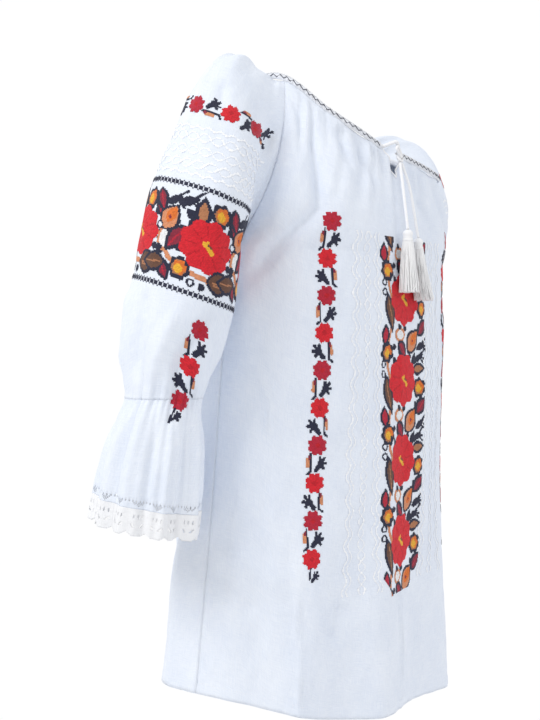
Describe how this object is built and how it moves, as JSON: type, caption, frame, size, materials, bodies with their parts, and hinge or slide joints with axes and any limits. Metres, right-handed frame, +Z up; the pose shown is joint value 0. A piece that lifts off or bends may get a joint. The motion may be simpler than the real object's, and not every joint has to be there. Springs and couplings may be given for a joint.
{
  "type": "gathered peasant tunic",
  "caption": "Long gathered cotton tunic with raglan sleeves drawn in at the elbow, lace cuffs, a slit neckline with a tied drawstring and tassels.",
  "frame": {"origin": "between the shoulders, at the height of their tops, where a wearer or a form holds the tunic up", "axes": "+Z up, the front faces -Y, the wearer's left is +X"},
  "size_m": [0.5812, 0.2738, 0.7068],
  "materials": {
    "cotton": "thin plain-woven white cotton",
    "lace_cotton": "white cotton lace",
    "binding_cotton": "white cotton binding with dark zigzag stitching",
    "thread": "twisted white cotton cord and threads"
  },
  "bodies": {
    "root": {"front": "cotton", "back": "cotton", "sleeve_right": "cotton", "sleeve_left": "cotton", "frill_right": "cotton", "frill_left": "cotton", "lace_right": "lace_cotton", "lace_left": "lace_cotton", "neck_binding": "binding_cotton", "bow_knot": "thread", "bow_loop": "thread", "tie_left": "thread", "tie_right": "thread", "cord_right": "thread", "cord_left": "thread", "tassel_right": "thread", "tassel_left": "thread"}
  },
  "joints": []
}
